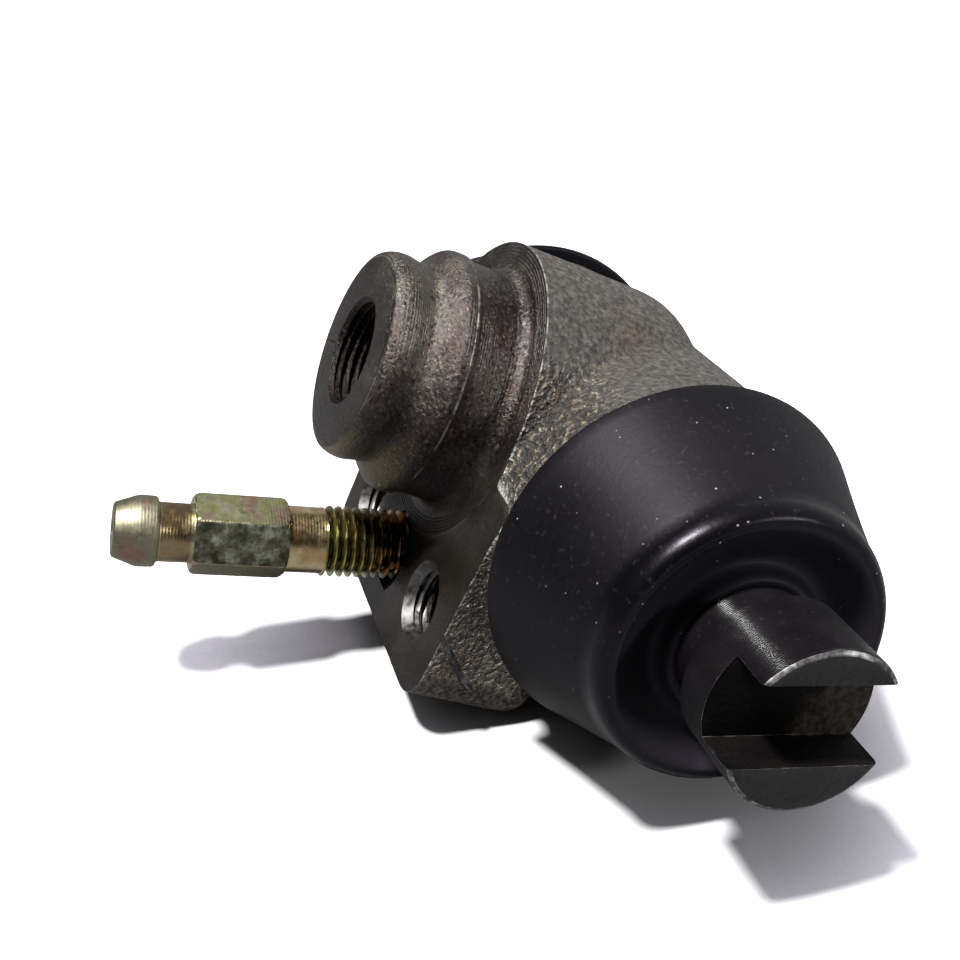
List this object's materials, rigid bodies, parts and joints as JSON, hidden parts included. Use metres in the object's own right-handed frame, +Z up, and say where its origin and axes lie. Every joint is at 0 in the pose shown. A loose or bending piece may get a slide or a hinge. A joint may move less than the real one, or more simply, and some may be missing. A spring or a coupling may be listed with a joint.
{
  "type": "wheel cylinder",
  "caption": "Drum brake wheel cylinder: cast body with a stepped inlet boss and drilled lug, bleed screw, and a rubber boot and slotted tappet at each end.",
  "frame": {"origin": "on the faced mounting pad, midway between the bolt holes and 6.15 mm below their line; the bore's centre is 18.27 mm behind it and 22.4 mm above", "axes": "+X along the bore, -Y out of the faced mounting side along the inlet boss, +Z up with the bolt lug below"},
  "size_m": [0.1024, 0.0689, 0.047],
  "materials": {
    "cast_iron": "rough casting, turned faces",
    "plated_steel": "yellow zinc plating",
    "boot_rubber": "soft sheen",
    "cup_rubber": "satin",
    "tappet_steel": "black oxide, turned",
    "piston_alloy": "turned",
    "spring_steel": "drawn"
  },
  "bodies": {
    "casting": {"cylinder_body": "cast_iron", "boot_a": "boot_rubber", "boot_b": "boot_rubber", "return_spring": "spring_steel"},
    "bleeder": {"bleed_screw": "plated_steel"},
    "plunger_a": {"piston_a": "piston_alloy", "seal_cup_a": "cup_rubber", "cup_expander_a": "spring_steel"},
    "plunger_b": {"piston_b": "piston_alloy", "seal_cup_b": "cup_rubber", "cup_expander_b": "spring_steel"},
    "adjuster_a": {"tappet_a": "tappet_steel"},
    "adjuster_b": {"tappet_b": "tappet_steel"}
  },
  "joints": [
    {"name": "piston_a_slide", "type": "slide", "parent": "casting", "child": "plunger_a", "axis": [1, 0, 0], "range_m": [-0.002, 0.006], "deforming": ["return_spring"]},
    {"name": "piston_b_slide", "type": "slide", "parent": "casting", "child": "plunger_b", "axis": [-1, 0, 0], "range_m": [-0.002, 0.006], "deforming": ["return_spring"]},
    {"name": "tappet_a_turn", "type": "hinge", "parent": "plunger_a", "child": "adjuster_a", "pos_m": [0.0176, 0.01827, 0.0224], "axis": [1, 0, 0], "continuous": true},
    {"name": "tappet_b_turn", "type": "hinge", "parent": "plunger_b", "child": "adjuster_b", "pos_m": [-0.0176, 0.01827, 0.0224], "axis": [-1, 0, 0], "continuous": true},
    {"name": "bleed_screw_turn", "type": "hinge", "parent": "casting", "child": "bleeder", "pos_m": [0, 0, 0.00618], "axis": [0, -0.977, -0.213], "range_deg": [0, 270]}
  ]
}
